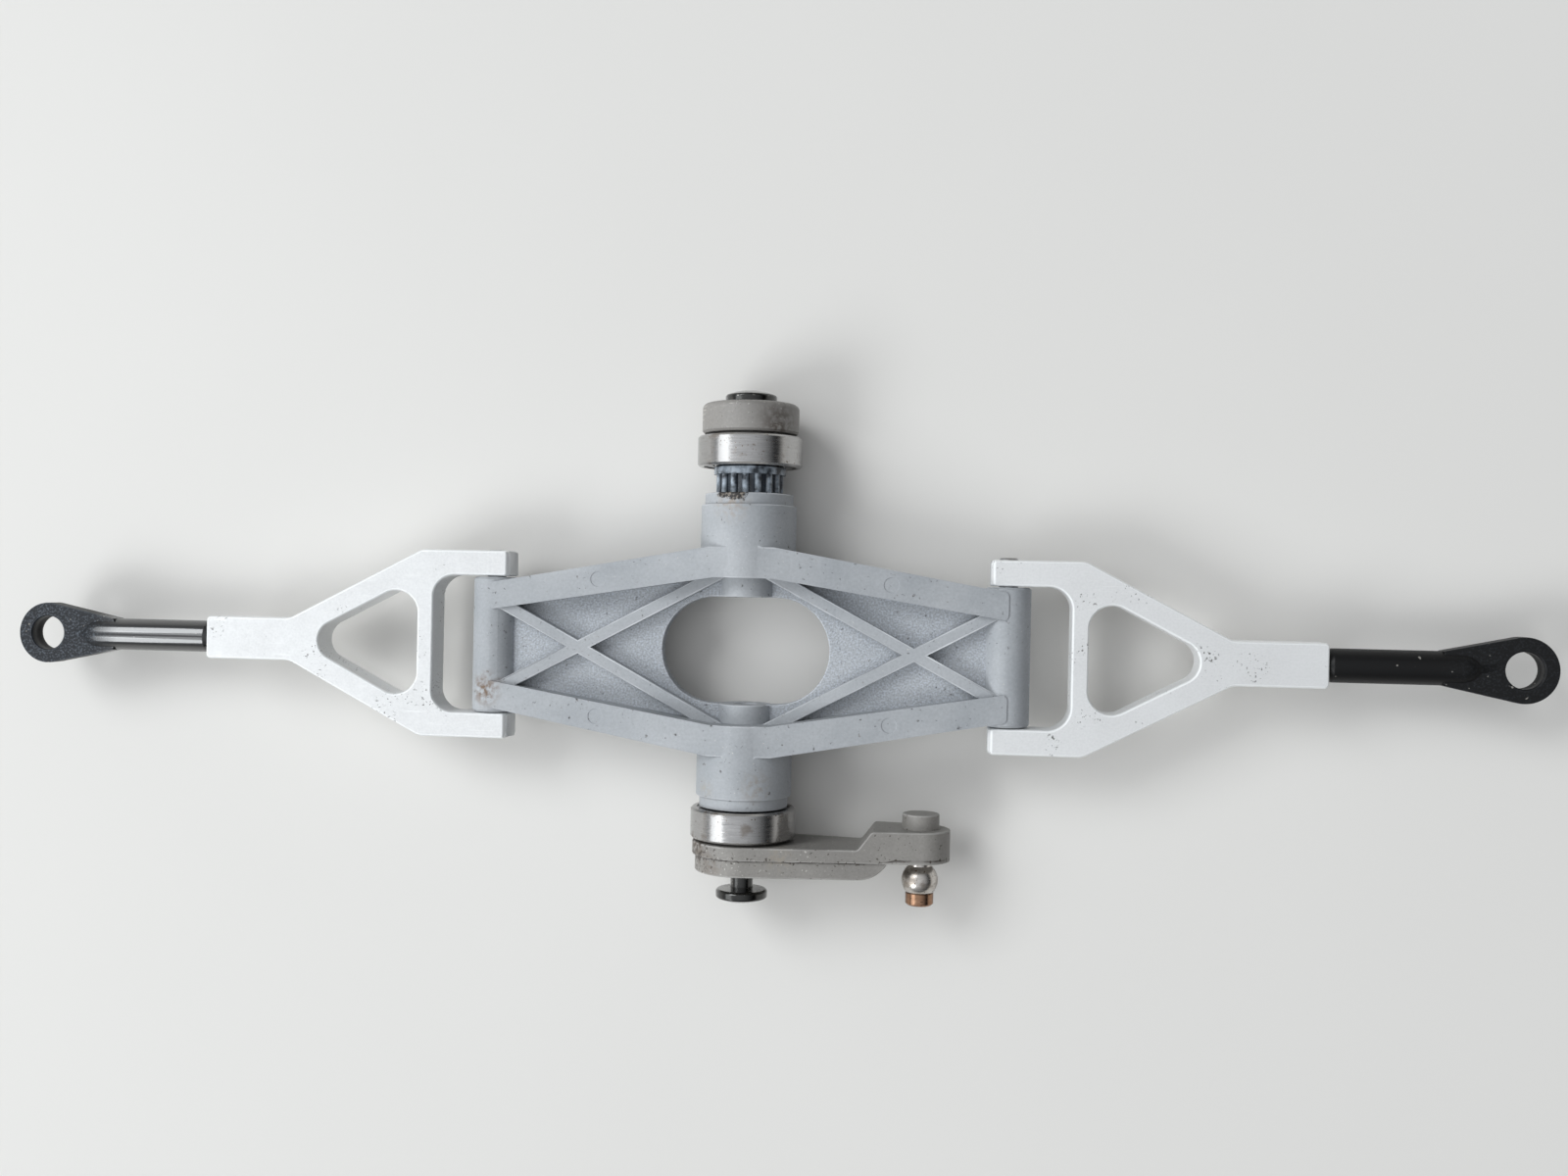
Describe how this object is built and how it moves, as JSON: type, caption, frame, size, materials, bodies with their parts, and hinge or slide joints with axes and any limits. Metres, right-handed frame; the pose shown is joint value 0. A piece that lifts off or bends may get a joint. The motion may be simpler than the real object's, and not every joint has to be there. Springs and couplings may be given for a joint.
{
  "type": "control_yoke",
  "caption": "See-saw control yoke with an oblong shaft slot, ball bearings on its trunnions, a ball lever and hinged forked arms that end in ball links.",
  "frame": {"origin": "where the trunnion axis crosses the middle of the main shaft slot", "axes": "+X from the yoke's centre towards the hinge on the ball lever's side, +Y along the trunnions towards the bearing cap, +Z along the main shaft through the slot"},
  "size_m": [0.206, 0.0682, 0.014],
  "materials": {
    "yoke_nylon": "matt glass-filled nylon as moulded",
    "lever_nylon": "matt warm grey nylon as moulded",
    "journal_nylon": "dark blue-grey nylon, slightly greasy",
    "race_steel": "ground and polished bearing steel",
    "shield_steel": "pressed steel sheet",
    "cage_brass": "pressed brass strip",
    "bearing_ball_steel": "polished",
    "black_screw": "black oxide with a trace of oil",
    "pivot_ball_steel": "turned and worn bright",
    "coppered_screw": "rusty brown, worn bright on the rim",
    "arm_aluminium": "satin silver, tumbled",
    "pin_steel": "ground",
    "stud_steel": "rolled thread, oiled",
    "link_nylon": "black nylon, semi-gloss"
  },
  "bodies": {
    "yoke": {"yoke_frame": "yoke_nylon", "cap_journal": "journal_nylon", "lever_journal": "journal_nylon", "cap_bearing_inner_race": "race_steel", "lever_bearing_inner_race": "race_steel", "bearing_cap": "lever_nylon", "cap_screw": "black_screw", "lever_arm": "lever_nylon", "lever_screw": "black_screw", "pivot_ball": "pivot_ball_steel", "ball_screw": "coppered_screw"},
    "cap_bearing_outer": {"cap_bearing_outer_race": "race_steel", "cap_bearing_shields": "shield_steel"},
    "cap_ball_set": {"cap_bearing_cage": "cage_brass", "cap_bearing_balls": "bearing_ball_steel"},
    "lever_bearing_outer": {"lever_bearing_outer_race": "race_steel", "lever_bearing_shields": "shield_steel"},
    "lever_ball_set": {"lever_bearing_cage": "cage_brass", "lever_bearing_balls": "bearing_ball_steel"},
    "left_arm": {"left_arm_plate": "arm_aluminium", "left_hinge_pin": "pin_steel", "left_link_stud": "stud_steel", "left_ball_link": "link_nylon"},
    "right_arm": {"right_arm_plate": "arm_aluminium", "right_hinge_pin": "pin_steel", "right_link_stud": "stud_steel", "right_ball_link": "link_nylon"}
  },
  "joints": [
    {"name": "left_arm_hinge", "type": "hinge", "parent": "yoke", "child": "left_arm", "pos_m": [-0.0345, 0, 0], "axis": [0, 1, 0], "range_deg": [-110, 110]},
    {"name": "right_arm_hinge", "type": "hinge", "parent": "yoke", "child": "right_arm", "pos_m": [0.0345, 0, 0], "axis": [0, 1, 0], "range_deg": [-110, 110]},
    {"name": "cap_bearing_spin", "type": "hinge", "parent": "yoke", "child": "cap_bearing_outer", "pos_m": [0, 0.0264, 0], "axis": [0, 1, 0], "continuous": true},
    {"name": "cap_ball_set_spin", "type": "hinge", "parent": "yoke", "child": "cap_ball_set", "pos_m": [0, 0.0264, 0], "axis": [0, 1, 0], "continuous": true},
    {"name": "lever_bearing_spin", "type": "hinge", "parent": "yoke", "child": "lever_bearing_outer", "pos_m": [0, -0.0229, 0], "axis": [0, 1, 0], "continuous": true},
    {"name": "lever_ball_set_spin", "type": "hinge", "parent": "yoke", "child": "lever_ball_set", "pos_m": [0, -0.0229, 0], "axis": [0, 1, 0], "continuous": true}
  ],
  "couplings": [
    {"joint": "cap_ball_set_spin", "follows": "cap_bearing_spin", "ratio": 0.5722},
    {"joint": "lever_ball_set_spin", "follows": "lever_bearing_spin", "ratio": 0.5722}
  ]
}
